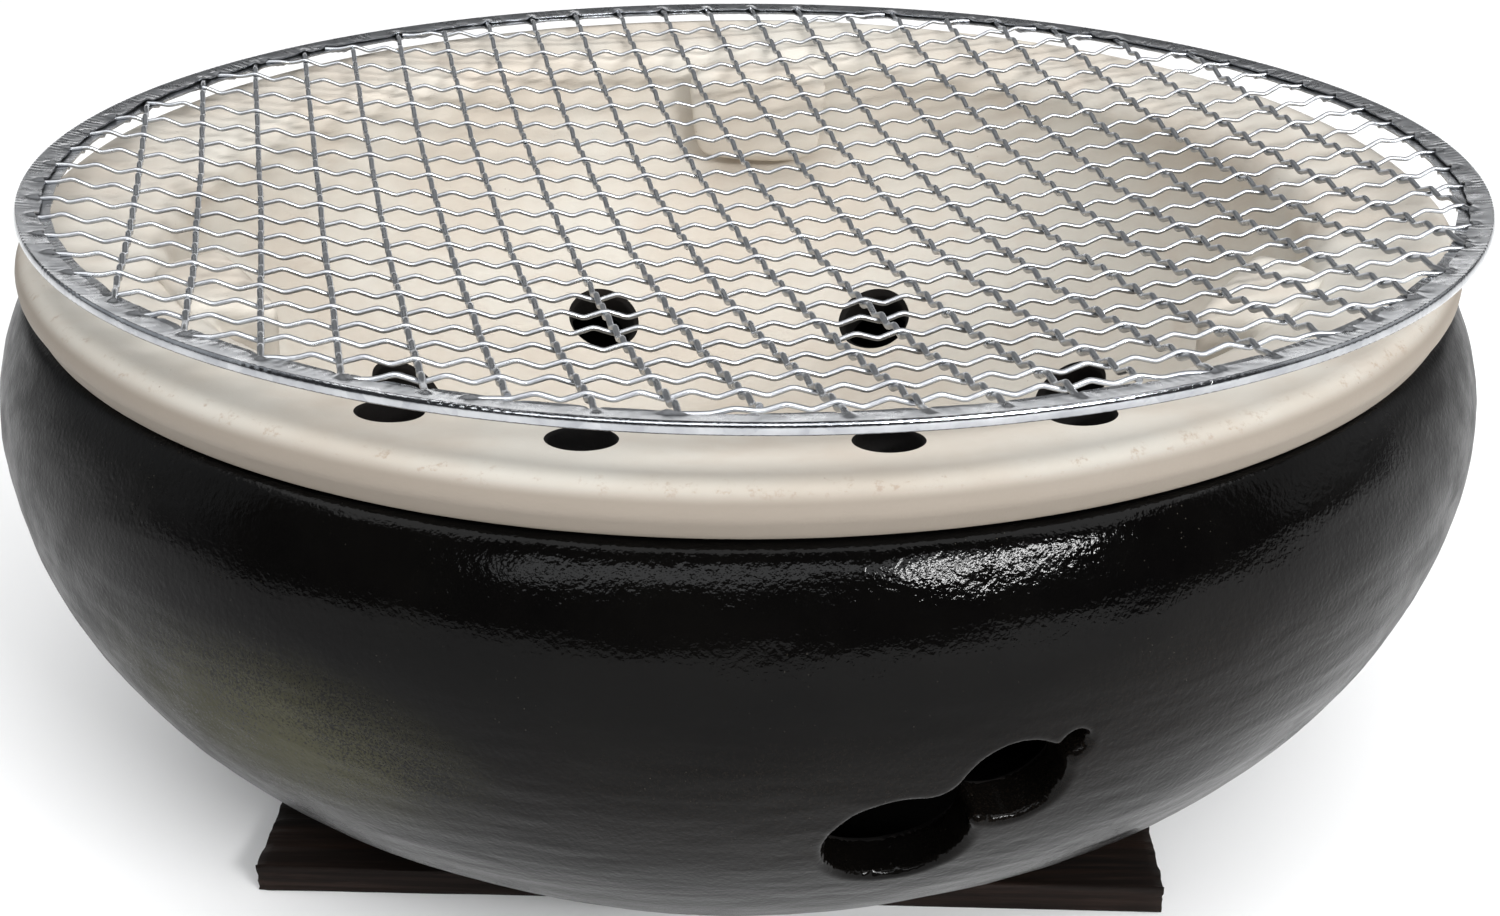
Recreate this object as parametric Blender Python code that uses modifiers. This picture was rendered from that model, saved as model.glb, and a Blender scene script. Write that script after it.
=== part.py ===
"""Round ceramic table hibachi: board, glazed bowl, clay liner and a woven grill net.

Run with: blender --background --python part.py
Metres, +Z up. The origin is the centre of the object's footprint, on the ground.
Every turned piece shares the vertical axis through the origin. The grill net has its
own frame, net_frame, on the axis of its hoop.
"""

import math

import bmesh
import bpy
from mathutils import Matrix, Vector

MM = 0.001
GAP = 0.3 * MM

# Base board
BOARD_WIDTH = 178 * MM
BOARD_DEPTH = 173 * MM
BOARD_THICKNESS = 6 * MM
BOARD_EDGE = 0.8 * MM
BOARD_SHIFT_X = -3 * MM
BOARD_TURN = math.radians(-1.8)

# Outer bowl, measured from its foot
FOOT_Z = BOARD_THICKNESS + GAP
LIP_Z = FOOT_Z + 103.5 * MM
BELLY_RADIUS = 151.8 * MM
BELLY_DROP = 25.5 * MM
SHOULDER_RISE = 78 * MM
UNDERSIDE_FALL = 99.5 * MM
BOWL_WALL = 10 * MM
BOWL_FLOOR = 12 * MM
LIP_INNER_RADIUS = 133.6 * MM
LIP_ROUND = 1.5 * MM
INNER_SHOULDER = 0.625
FOOT_WIDTH = 10 * MM
FOOT_RECESS = 2.5 * MM

# Gourd-shaped air vent: each lobe is (distance along the gourd, radius)
GOURD_LOBES = ((0.0, 12 * MM), (21.5 * MM, 9 * MM), (33.2 * MM, 2.2 * MM))
GOURD_FILLETS = (1.3 * MM, 1.5 * MM)
GOURD_LEAN = math.radians(35)
VENT_SIDE = math.radians(10.6)
VENT_DROP = 55.5 * MM
VENT_AIM_SIDE = math.radians(13.5)
VENT_AIM_DOWN = math.radians(17)
VENT_OUTSIDE = 15 * MM
VENT_INSIDE = 24 * MM

# Inner liner, heights from the bowl's lip
RIM_UNDERSIDE = LIP_Z + GAP
RIM_HEIGHT = 8.4 * MM
RIM_RADIUS = 145.3 * MM
RIM_FOOT_RADIUS = 143.6 * MM
RIM_ROUND = 5 * MM
RIM_INNER_ROUND = 6 * MM
RIM_SLOPE = 2 * MM
CHAMBER_RADIUS = 116.5 * MM
CHAMBER_FALL = 75.6 * MM
CHAMBER_DEPTH = 66 * MM
LINER_WALL = 9.5 * MM
LINER_FLOOR = 11 * MM
COLLAR_RADIUS = 133.1 * MM
COLLAR_DEPTH = 6 * MM

RIM_HOLE_RADIUS = 5.4 * MM
RIM_HOLE_CIRCLE = 126.3 * MM
RIM_HOLE_ANGLES = tuple(math.radians(a) for a in (-26.0, -10.9, 10.9, 26.0))
WALL_HOLE_RADIUS = 8 * MM
WALL_HOLE_DROP = 53 * MM
WALL_HOLE_ANGLES = tuple(math.radians(a) for a in (23, 68, 113, 156.5, 204.5, 248, 293, 338))
WALL_HOLE_SINK = 3 * MM
CUT_OVERLAP = 8 * MM

LUG_ANGLES = tuple(math.radians(a) for a in (88, 210, 330))
LUG_WIDTH = 38 * MM
LUG_REACH = 105 * MM
LUG_ROOT = 122 * MM
LUG_DEPTH = 24 * MM
LUG_EDGE = 3.5 * MM
LUG_NOSE_WIDTH = 0.72
LUG_UNDERCUT = 0.55

# Grill net
HOOP_RADIUS = 145.4 * MM
HOOP_Z = LIP_Z + 16.1 * MM
NET_SHIFT_X = 2.9 * MM
NET_TILT = math.radians(-1.6)
NET_TURN = math.radians(12.6)
NET_SAG = 14 * MM
SHEET = 0.35 * MM
WIRE_RADIUS = 0.5 * MM
CORE_RADIUS = 0.5 * MM
FOLD_INSIDE = CORE_RADIUS + GAP
FOLD_OUTSIDE = FOLD_INSIDE + SHEET
FLANGE_RADIUS = 138.5 * MM
WIRE_END_RADIUS = 141.5 * MM
END_LIFT = 0.28
WIRE_PITCH = 11.92 * MM
WIRE_LIFT = 0.7 * MM
LONG_SHIFT = 0.53
CROSS_SHIFT = 0.65
ROUND_STEPS = 48
HOOP_STEPS = 72

COLORS = {
    "board": ((0.035, 0.018, 0.012), 0.75, 0.0),
    "glaze": ((0.012, 0.011, 0.010), 0.18, 0.0),
    "clay": ((0.72, 0.64, 0.53), 0.85, 0.0),
    "zinc": ((0.50, 0.51, 0.52), 0.35, 1.0),
}


def clear_scene():
    for obj in list(bpy.data.objects):
        bpy.data.objects.remove(obj, do_unlink=True)


def new_collection(name):
    collection = bpy.data.collections.new(name)
    bpy.context.scene.collection.children.link(collection)
    return collection


def new_material(name, look):
    color, roughness, metallic = COLORS[look]
    material = bpy.data.materials.new(name)
    material.use_nodes = True
    shader = material.node_tree.nodes["Principled BSDF"]
    shader.inputs["Base Color"].default_value = (*color, 1.0)
    shader.inputs["Roughness"].default_value = roughness
    shader.inputs["Metallic"].default_value = metallic
    return material


def add_object(name, data, collection, look=None):
    obj = bpy.data.objects.new(name, data)
    collection.objects.link(obj)
    if look:
        data.materials.append(new_material(name + "_finish", look))
    return obj


def mesh_from(bm, name):
    mesh = bpy.data.meshes.new(name)
    bm.to_mesh(mesh)
    bm.free()
    return mesh


def turned(name, profile, steps, collection, look):
    """A turned piece: the profile's (radius, height) points swept about its Z axis."""
    bm = bmesh.new()
    verts = [bm.verts.new((r, 0.0, z)) for r, z in profile]
    for a, b in zip(verts, verts[1:]):
        bm.edges.new((a, b))
    if profile[0][0] > 0:
        bm.edges.new((verts[-1], verts[0]))
    obj = add_object(name, mesh_from(bm, name), collection, look)
    screw = obj.modifiers.new("turn", "SCREW")
    screw.angle = math.tau
    screw.steps = steps
    screw.render_steps = steps
    screw.use_merge_vertices = True
    screw.merge_threshold = 0.00005
    screw.use_smooth_shade = True
    return obj


def baked(obj):
    """The object with its modifiers applied to its mesh, so that it can be cut."""
    graph = bpy.context.evaluated_depsgraph_get()
    mesh = bpy.data.meshes.new_from_object(obj.evaluated_get(graph))
    mesh.name = obj.name
    obj.modifiers.clear()
    obj.data = mesh
    mesh.set_sharp_from_angle(angle=math.radians(35))
    return obj


def add_boolean(obj, tool, operation):
    tool.hide_render = True
    tool.display_type = "WIRE"
    boolean = obj.modifiers.new(tool.name, "BOOLEAN")
    boolean.operation = operation
    boolean.solver = "EXACT"
    boolean.object = tool


def arc(center, radii, start, end, count):
    """Points on an ellipse arc, angles in radians from +radius towards +height."""
    points = []
    for i in range(count):
        angle = start + (end - start) * i / (count - 1)
        points.append((center[0] + radii[0] * math.cos(angle), center[1] + radii[1] * math.sin(angle)))
    return points


def polar(radius, angle, z):
    """A point by its angle from the front (-Y), positive towards +X."""
    return Vector((radius * math.sin(angle), -radius * math.cos(angle), z))


def make_board(collection):
    bm = bmesh.new()
    bmesh.ops.create_cube(bm, size=1.0)
    bmesh.ops.scale(bm, vec=(BOARD_WIDTH, BOARD_DEPTH, BOARD_THICKNESS), verts=bm.verts)
    board = add_object("base_board", mesh_from(bm, "base_board"), collection, "board")
    board.location = (BOARD_SHIFT_X, 0.0, BOARD_THICKNESS / 2)
    board.rotation_euler.z = BOARD_TURN
    bevel = board.modifiers.new("edges", "BEVEL")
    bevel.width = BOARD_EDGE
    bevel.segments = 1


def bowl_profile():
    belly_z = LIP_Z - BELLY_DROP
    lip_angle = math.asin((BELLY_DROP - LIP_ROUND) / SHOULDER_RISE)
    foot_angle = -math.asin((belly_z - FOOT_Z - FOOT_RECESS) / UNDERSIDE_FALL)
    outer = arc((0, belly_z), (BELLY_RADIUS, SHOULDER_RISE), lip_angle, 0, 5)
    outer += arc((0, belly_z), (BELLY_RADIUS, UNDERSIDE_FALL), 0, foot_angle, 12)[1:]
    lip_outer = outer[0][0]
    foot_outer = outer[-1][0]

    inner_radius = BELLY_RADIUS - BOWL_WALL
    floor_z = FOOT_Z + BOWL_FLOOR
    floor_angle = -math.asin((belly_z - floor_z) / (UNDERSIDE_FALL - BOWL_WALL / 2))
    lip_inside = math.acos(LIP_INNER_RADIUS / inner_radius)
    rise = BELLY_DROP * INNER_SHOULDER / math.sin(lip_inside)
    inner = arc((0, belly_z), (inner_radius, UNDERSIDE_FALL - BOWL_WALL / 2), floor_angle, 0, 9)
    inner += arc((0, belly_z), (inner_radius, rise), 0, lip_inside, 4)[1:]

    profile = [(0.0, floor_z)] + inner
    profile.append((LIP_INNER_RADIUS, LIP_Z - LIP_ROUND))
    profile.append((LIP_INNER_RADIUS + LIP_ROUND, LIP_Z))
    profile.append((lip_outer - LIP_ROUND, LIP_Z))
    profile += outer
    profile.append((foot_outer - FOOT_RECESS / 2, FOOT_Z))
    profile.append((foot_outer - FOOT_WIDTH, FOOT_Z))
    profile.append((foot_outer - FOOT_WIDTH - FOOT_RECESS, FOOT_Z + FOOT_RECESS))
    profile.append((0.0, FOOT_Z + FOOT_RECESS))
    return profile


def gourd_half_outline():
    """The gourd's upper outline as tangent arcs: lobe, fillet, lobe, fillet, stem."""
    centers = [Vector((x, 0.0)) for x, _ in GOURD_LOBES]
    radii = [r for _, r in GOURD_LOBES]
    fillets = []
    for i, fillet in enumerate(GOURD_FILLETS):
        a = radii[i] + fillet
        b = radii[i + 1] + fillet
        d = (centers[i + 1] - centers[i]).length
        x = (a * a - b * b + d * d) / (2 * d)
        fillets.append(centers[i] + Vector((x, math.sqrt(a * a - x * x))))
    points = []
    angle = math.pi
    for i, center in enumerate(centers):
        end = (fillets[i] - center) if i < len(fillets) else Vector((1.0, 0.0))
        end_angle = math.atan2(end.y, end.x)
        points += arc(center, (radii[i], radii[i]), angle, end_angle, 8)
        if i < len(fillets):
            hollow = GOURD_FILLETS[i]
            start = center - fillets[i]
            after = centers[i + 1] - fillets[i]
            points += arc(fillets[i], (hollow, hollow), math.atan2(start.y, start.x),
                          math.atan2(after.y, after.x), 4)[1:-1]
            angle = math.atan2(-after.y, -after.x)
    return points


def make_vent_cutter(cutters):
    upper = gourd_half_outline()
    outline = upper + [(x, -y) for x, y in reversed(upper[1:-1])]
    curve = bpy.data.curves.new("vent_cutter", "CURVE")
    curve.dimensions = "2D"
    curve.fill_mode = "BOTH"
    curve.extrude = (VENT_OUTSIDE + VENT_INSIDE) / 2
    spline = curve.splines.new("POLY")
    spline.points.add(len(outline) - 1)
    for point, (x, y) in zip(spline.points, outline):
        point.co = (x, y, 0.0, 1.0)
    spline.use_cyclic_u = True
    flat = bpy.data.objects.new("vent_outline", curve)
    cutters.objects.link(flat)

    aim = polar(math.cos(VENT_AIM_DOWN), VENT_AIM_SIDE, -math.sin(VENT_AIM_DOWN))
    side = Vector((0, 0, 1)).cross(aim).normalized()
    up = aim.cross(side)
    along = side * math.cos(GOURD_LEAN) + up * math.sin(GOURD_LEAN)
    across = aim.cross(along)
    drop = VENT_DROP - BELLY_DROP
    surface = BELLY_RADIUS * math.sqrt(1 - (drop / UNDERSIDE_FALL) ** 2)
    place = polar(surface, VENT_SIDE, LIP_Z - VENT_DROP)
    place += aim * (VENT_OUTSIDE - VENT_INSIDE) / 2
    frame = Matrix((along, across, aim)).transposed().to_4x4()
    flat.matrix_world = Matrix.Translation(place) @ frame
    bpy.context.view_layer.update()

    graph = bpy.context.evaluated_depsgraph_get()
    mesh = bpy.data.meshes.new_from_object(flat.evaluated_get(graph))
    bm = bmesh.new()
    bm.from_mesh(mesh)
    bmesh.ops.remove_doubles(bm, verts=bm.verts, dist=0.00001)
    bm.to_mesh(mesh)
    bm.free()
    cutter = add_object("vent_cutter", mesh, cutters)
    cutter.matrix_world = flat.matrix_world
    bpy.data.objects.remove(flat, do_unlink=True)
    return cutter


def make_bowl(collection, cutters):
    bowl = baked(turned("outer_bowl", bowl_profile(), ROUND_STEPS, collection, "glaze"))
    add_boolean(bowl, make_vent_cutter(cutters), "DIFFERENCE")


def chamber_radius(drop):
    """The fire chamber's inside radius at a depth below the bowl's lip."""
    return CHAMBER_RADIUS * math.sqrt(1 - (drop / CHAMBER_FALL) ** 2)


def liner_profile():
    floor_z = LIP_Z - CHAMBER_DEPTH
    floor_angle = -math.asin(CHAMBER_DEPTH / CHAMBER_FALL)
    inner = arc((0, LIP_Z), (CHAMBER_RADIUS, CHAMBER_FALL), floor_angle, 0, 9)
    rim_top = RIM_UNDERSIDE + RIM_HEIGHT
    inner_edge = (CHAMBER_RADIUS + RIM_INNER_ROUND, rim_top - RIM_SLOPE - RIM_INNER_ROUND)
    inner += arc(inner_edge, (RIM_INNER_ROUND, RIM_INNER_ROUND), math.pi, math.radians(97), 4)
    outer = [(RIM_RADIUS - 2 * RIM_ROUND, rim_top)]
    outer += arc((RIM_RADIUS - RIM_ROUND, rim_top - RIM_ROUND), (RIM_ROUND, RIM_ROUND),
                 math.radians(80), 0, 5)
    outer.append((RIM_FOOT_RADIUS, RIM_UNDERSIDE + LIP_ROUND / 2))
    outer.append((RIM_FOOT_RADIUS - LIP_ROUND, RIM_UNDERSIDE))
    collar_z = LIP_Z - COLLAR_DEPTH
    outer.append((COLLAR_RADIUS, RIM_UNDERSIDE))
    outer.append((COLLAR_RADIUS, collar_z + LIP_ROUND))
    outer.append((COLLAR_RADIUS - LIP_ROUND, collar_z))

    wall_radius = CHAMBER_RADIUS + LINER_WALL
    wall_fall = CHAMBER_FALL + LINER_WALL
    bottom_z = floor_z - LINER_FLOOR
    wall_top = -math.asin(COLLAR_DEPTH / wall_fall)
    wall_bottom = -math.asin((LIP_Z - bottom_z) / wall_fall)
    outer += arc((0, LIP_Z), (wall_radius, wall_fall), wall_top, wall_bottom, 10)
    return [(0.0, floor_z)] + inner + outer + [(0.0, bottom_z)]


def net_height(x, y):
    """Height of the net's middle surface above its hoop's plane, in the net's frame."""
    reach = min(math.hypot(x, y) / FLANGE_RADIUS, 1.0)
    return -NET_SAG * (1 - reach * reach)


def lug_top(angle):
    """The lug's top: just below the net's wires at the lug's inner edge."""
    place = polar(LUG_REACH, angle, 0.0)
    wires = HOOP_Z + net_height(place.x, place.y) + place.y * math.tan(NET_TILT)
    return wires - WIRE_LIFT - WIRE_RADIUS - 2 * GAP


def make_rod_tool(name, cutters, radius, length, place, direction, vertices=16):
    bm = bmesh.new()
    bmesh.ops.create_cone(bm, cap_ends=True, segments=vertices, radius1=radius, radius2=radius,
                          depth=length)
    tool = add_object(name, mesh_from(bm, name), cutters)
    tool.location = place
    tool.rotation_mode = "QUATERNION"
    tool.rotation_quaternion = Vector(direction).to_track_quat("Z", "Y")
    return tool


def make_lug_tool(index, angle, cutters):
    name = f"lug_{index + 1}"
    depth = LUG_ROOT - LUG_REACH
    bm = bmesh.new()
    bmesh.ops.create_cube(bm, size=1.0)
    bmesh.ops.scale(bm, vec=(LUG_WIDTH, depth, LUG_DEPTH), verts=bm.verts)
    for vert in bm.verts:
        if vert.co.z < 0 and vert.co.y > 0:
            vert.co.y -= depth * LUG_UNDERCUT
        if vert.co.y > 0:
            vert.co.x *= LUG_NOSE_WIDTH
    bmesh.ops.bevel(bm, geom=list(bm.edges), offset=LUG_EDGE, segments=2, profile=0.5, affect="EDGES")
    tool = add_object(name, mesh_from(bm, name), cutters)
    tool.location = polar((LUG_ROOT + LUG_REACH) / 2, angle, lug_top(angle) - LUG_DEPTH / 2)
    tool.rotation_euler.z = angle
    return tool


def make_liner(collection, cutters):
    liner = baked(turned("inner_liner", liner_profile(), ROUND_STEPS, collection, "clay"))
    for index, angle in enumerate(LUG_ANGLES):
        add_boolean(liner, make_lug_tool(index, angle + math.pi / 2, cutters), "UNION")
    hole_depth = RIM_HEIGHT + COLLAR_DEPTH + CUT_OVERLAP
    hole_middle = RIM_UNDERSIDE + RIM_HEIGHT + CUT_OVERLAP / 2 - hole_depth / 2
    for index, angle in enumerate(RIM_HOLE_ANGLES):
        rod = make_rod_tool(f"rim_hole_{index + 1}", cutters, RIM_HOLE_RADIUS, hole_depth,
                            polar(RIM_HOLE_CIRCLE, angle, hole_middle), (0, 0, 1))
        add_boolean(liner, rod, "DIFFERENCE")
    for index, angle in enumerate(WALL_HOLE_ANGLES):
        radius = chamber_radius(WALL_HOLE_DROP) + LINER_WALL / 2
        slope = math.atan2(radius / CHAMBER_RADIUS ** 2, WALL_HOLE_DROP / CHAMBER_FALL ** 2)
        outward = polar(math.sin(slope), angle, -math.cos(slope))
        place = polar(radius, angle, LIP_Z - WALL_HOLE_DROP - WALL_HOLE_SINK)
        rod = make_rod_tool(f"wall_hole_{index + 1}", cutters, WALL_HOLE_RADIUS,
                            LINER_WALL + 2 * CUT_OVERLAP, place, outward)
        add_boolean(liner, rod, "DIFFERENCE")


def strip_profile():
    """The rim strip, folded round the hoop wire, with two flanges that open inwards."""
    fold = (HOOP_RADIUS, 0)
    up = math.pi / 2
    profile = [(FLANGE_RADIUS, FOLD_OUTSIDE)] + arc(fold, (FOLD_OUTSIDE, FOLD_OUTSIDE), up, -up, 9)
    profile += [(FLANGE_RADIUS, -FOLD_OUTSIDE), (FLANGE_RADIUS, -FOLD_INSIDE)]
    profile += arc(fold, (FOLD_INSIDE, FOLD_INSIDE), -up, up, 7) + [(FLANGE_RADIUS, FOLD_INSIDE)]
    return profile


def make_rim(collection, frame):
    strip = turned("net_rim_strip", strip_profile(), HOOP_STEPS, collection, "zinc")
    core_profile = arc((HOOP_RADIUS, 0), (CORE_RADIUS, CORE_RADIUS), math.pi, -math.pi, 7)[:-1]
    core = turned("net_rim_core", core_profile, HOOP_STEPS, collection, "zinc")
    for obj in (strip, core):
        obj.parent = frame


def wire_offsets(shift):
    """Offsets from the net's centre of one family's wires, left to right."""
    most = math.floor(WIRE_END_RADIUS / WIRE_PITCH) + 1
    every = [(n + shift) * WIRE_PITCH for n in range(-most, most + 1)]
    return [o for o in every if abs(o) < FLANGE_RADIUS - 4 * WIRE_RADIUS]


def half_wire(offset, crossings, sign_of, squarer):
    """(distance, side) points of a wire from its middle outwards, one for each crossing."""
    entry = math.sqrt((FLANGE_RADIUS - 2 * SHEET) ** 2 - offset * offset)
    end = math.sqrt(WIRE_END_RADIUS ** 2 - offset * offset)
    points = []
    for place in crossings:
        reach = math.hypot(offset, place)
        if reach < FLANGE_RADIUS - 2 * WIRE_RADIUS:
            points.append((place, sign_of(place)))
        elif place < end + 2 * WIRE_RADIUS and squarer(place):
            end = min(end, place - 3 * WIRE_RADIUS)
    last_side = points[-1][1] if points else 0
    if end > entry + WIRE_RADIUS:
        if not points or entry - points[-1][0] > GAP:
            points.append((entry, END_LIFT * last_side))
        points.append((end, 0.0))
    else:
        points.append((end, END_LIFT * last_side))
    return points


def make_wires(collection, frame, name, offsets, others, along_y):
    for index, offset in enumerate(offsets):
        def side(place, row=index):
            column = min(range(len(others)), key=lambda k: abs(others[k] - place))
            up = (row + column) % 2 == 0
            return 1 if up == along_y else -1

        def squarer(place, mine=offset):
            return (abs(mine), along_y) < (abs(place), not along_y)

        ahead = [o for o in others if o >= 0]
        behind = [-o for o in reversed(others) if o < 0]
        front = half_wire(offset, ahead, side, squarer)
        back = half_wire(offset, behind, lambda p: side(-p), lambda p: squarer(-p))
        points = [(-p, s) for p, s in reversed(back)] + front

        curve = bpy.data.curves.new(name, "CURVE")
        curve.dimensions = "3D"
        curve.bevel_depth = WIRE_RADIUS
        curve.bevel_resolution = 0
        curve.use_fill_caps = True
        spline = curve.splines.new("POLY")
        spline.points.add(len(points) - 1)
        for point, (place, lift) in zip(spline.points, points):
            x, y = (offset, place) if along_y else (place, offset)
            point.co = (x, y, net_height(x, y) + lift * WIRE_LIFT, 1.0)
        wire = add_object(f"{name}_{index + 1:02d}", curve, collection, "zinc")
        wire.rotation_euler.z = NET_TURN
        wire.parent = frame


def make_net(collection):
    frame = bpy.data.objects.new("net_frame", None)
    collection.objects.link(frame)
    frame.location = (NET_SHIFT_X, 0.0, HOOP_Z)
    frame.rotation_euler.x = NET_TILT
    make_rim(collection, frame)
    long_offsets = wire_offsets(LONG_SHIFT)
    cross_offsets = wire_offsets(CROSS_SHIFT)
    make_wires(collection, frame, "long_wire", long_offsets, cross_offsets, True)
    make_wires(collection, frame, "cross_wire", cross_offsets, long_offsets, False)


def main():
    clear_scene()
    collection = new_collection("ceramic_hibachi")
    cutters = new_collection("cutters")
    make_board(collection)
    make_bowl(collection, cutters)
    make_liner(collection, cutters)
    make_net(collection)


main()
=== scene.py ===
"""Looks of the round ceramic table hibachi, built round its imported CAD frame.

Metres, +Z up, -Y is the front. Every piece takes its place from the frame's nodes. The
proportions that a box can't give are repeated from the CAD source, in millimetres.
"""

import math
import random

import bmesh
import bpy
import numpy as np
from mathutils import Matrix, Vector, noise


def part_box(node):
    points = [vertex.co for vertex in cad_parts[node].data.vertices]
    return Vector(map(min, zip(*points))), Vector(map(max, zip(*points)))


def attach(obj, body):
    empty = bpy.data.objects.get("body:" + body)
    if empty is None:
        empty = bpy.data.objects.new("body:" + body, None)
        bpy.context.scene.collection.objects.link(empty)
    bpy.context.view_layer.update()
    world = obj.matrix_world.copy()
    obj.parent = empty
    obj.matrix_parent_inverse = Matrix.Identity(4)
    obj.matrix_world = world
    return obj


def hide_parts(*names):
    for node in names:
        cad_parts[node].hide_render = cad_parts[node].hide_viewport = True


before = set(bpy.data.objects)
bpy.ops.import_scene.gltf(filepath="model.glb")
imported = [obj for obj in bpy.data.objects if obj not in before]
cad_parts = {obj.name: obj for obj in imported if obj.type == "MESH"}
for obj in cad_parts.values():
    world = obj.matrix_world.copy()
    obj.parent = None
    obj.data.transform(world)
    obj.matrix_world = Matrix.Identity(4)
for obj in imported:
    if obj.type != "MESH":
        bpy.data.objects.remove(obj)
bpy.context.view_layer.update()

MM = 0.001

# Places and sizes from the frame
BOWL_LOW, BOWL_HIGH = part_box("outer_bowl")
LINER_LOW, LINER_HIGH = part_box("inner_liner")
STRIP_LOW, STRIP_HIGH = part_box("net_rim_strip")
FOOT_Z = BOWL_LOW.z
LIP_Z = BOWL_HIGH.z
BELLY_RADIUS = (BOWL_HIGH.x - BOWL_LOW.x) / 2
RIM_RADIUS = (LINER_HIGH.x - LINER_LOW.x) / 2
RIM_TOP = LINER_HIGH.z
LINER_BOTTOM = LINER_LOW.z

# Bowl
BELLY_DROP = 25.5 * MM
SHOULDER_RISE = 78 * MM
UNDERSIDE_FALL = 99.5 * MM
BOWL_WALL = 10 * MM
BOWL_FLOOR = 12 * MM
LIP_INNER_RADIUS = 133.6 * MM
LIP_ROUND = 1.5 * MM
INNER_SHOULDER = 0.625
FOOT_WIDTH = 10 * MM
FOOT_RECESS = 2.5 * MM
BELLY_Z = LIP_Z - BELLY_DROP

# Gourd-shaped air vent: each lobe is (distance along the gourd, radius)
GOURD_LOBES = ((0.0, 12 * MM), (21.5 * MM, 9 * MM), (33.2 * MM, 2.2 * MM))
GOURD_UPPER_FILLETS = (7 * MM, 1.5 * MM)
GOURD_LOWER_FILLETS = (1.3 * MM, 3 * MM)
GOURD_MIDDLE = 10 * MM
GOURD_LEAN = math.radians(35)
VENT_SIDE = math.radians(10.6)
VENT_DROP = 55.5 * MM
VENT_AIM_SIDE = math.radians(13.5)
VENT_AIM_DOWN = math.radians(17)
VENT_OUTSIDE = 15 * MM
VENT_INSIDE = 24 * MM
VENT_EDGE = 1.7 * MM

# Steps of the bowl's mesh: by the vent, on the outside, and inside
VENT_STEP = 0.55 * MM
SKIN_STEP = 1.5 * MM
INSIDE_STEP = 3.5 * MM

# Liner, heights from the bowl's lip
RIM_UNDERSIDE = LIP_Z + 0.3 * MM
RIM_FOOT_RADIUS = 143.6 * MM
RIM_ROUND = 5 * MM
RIM_INNER_ROUND = 6 * MM
RIM_SLOPE = 2 * MM
CHAMBER_RADIUS = 116.5 * MM
CHAMBER_FALL = 75.6 * MM
CHAMBER_DEPTH = 66 * MM
CHAMBER_FLOOR_Z = LIP_Z - CHAMBER_DEPTH
LINER_WALL = 9.5 * MM
COLLAR_RADIUS = 133.1 * MM
COLLAR_DEPTH = 6 * MM
RIM_HOLE_RADIUS = 5.4 * MM
RIM_HOLE_CIRCLE = 126.3 * MM
RIM_HOLE_ANGLES = tuple(math.radians(a) for a in (-26.0, -10.9, 10.9, 26.0))
WALL_HOLE_RADIUS = 8 * MM
WALL_HOLE_DROP = 53 * MM
WALL_HOLE_ANGLES = tuple(math.radians(a) for a in (23, 68, 113, 156.5, 204.5, 248, 293, 338))
WALL_HOLE_SINK = 3 * MM
LUG_ANGLES = tuple(math.radians(a) for a in (178, 300, 60))
LUG_WIDTH = 38 * MM
LUG_REACH = 105 * MM
LUG_ROOT = 122 * MM
LUG_DEPTH = 24 * MM
LUG_GAP = 0.6 * MM
LUG_BLEND = 9 * MM

# Net, in its own frame on the axis of its hoop
NET_TILT = math.radians(-1.6)
NET_TURN = math.radians(12.6)
NET_SAG = 14 * MM
FOLD_OUTSIDE = 1.15 * MM
HOOP_RADIUS = (STRIP_HIGH.x - STRIP_LOW.x) / 2 - FOLD_OUTSIDE
CREASE_RADIUS = HOOP_RADIUS + 0.62 * MM
SHEET = 0.35 * MM
FOLD_BEND = 1.75 * MM
FOLD_HALF_TURN = math.radians(38)
FLANGE_RADIUS = 138.5 * MM
TOP_EDGE_RADIUS = FLANGE_RADIUS + 3.3 * MM
LOW_EDGE_RADIUS = FLANGE_RADIUS + 1.2 * MM
RIM_COLUMNS = 2000
WIRE_PITCH = 11.92 * MM
WIRE_RADIUS = 0.5 * MM
WIRE_LIFT = 0.7 * MM
WIRE_REACH = FLANGE_RADIUS + 4.6 * MM
LONG_WIRE_RADIUS = 0.57 * MM
CROSS_WIRE_RADIUS = 0.47 * MM
CRIMP = 0.54 * MM
HALF_WAVES = 3
NET_PLACE = (
    Matrix.Translation(((STRIP_LOW.x + STRIP_HIGH.x) / 2, 0.0, (STRIP_LOW.z + STRIP_HIGH.z) / 2))
    @ Matrix.Rotation(NET_TILT, 4, "X")
)
WIRES_PLACE = NET_PLACE @ Matrix.Rotation(NET_TURN, 4, "Z")

# Board: steps of its mesh along the grain, across it and in its thickness
BOARD_TURN = math.radians(-1.8)
BOARD_STEPS = (2.2 * MM, 0.7 * MM, 0.75 * MM)
BOARD_EDGE = 0.9 * MM


# ----- mesh helpers

def arc(center, radii, start, end, count):
    """Points on an ellipse arc, angles in radians from +radius towards +height."""
    angles = np.linspace(start, end, count)
    return [(center[0] + radii[0] * math.cos(a), center[1] + radii[1] * math.sin(a)) for a in angles]


def polar(radius, angle, z):
    """A point by its angle from the front (-Y), positive towards +X."""
    return Vector((radius * math.sin(angle), -radius * math.cos(angle), z))


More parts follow.
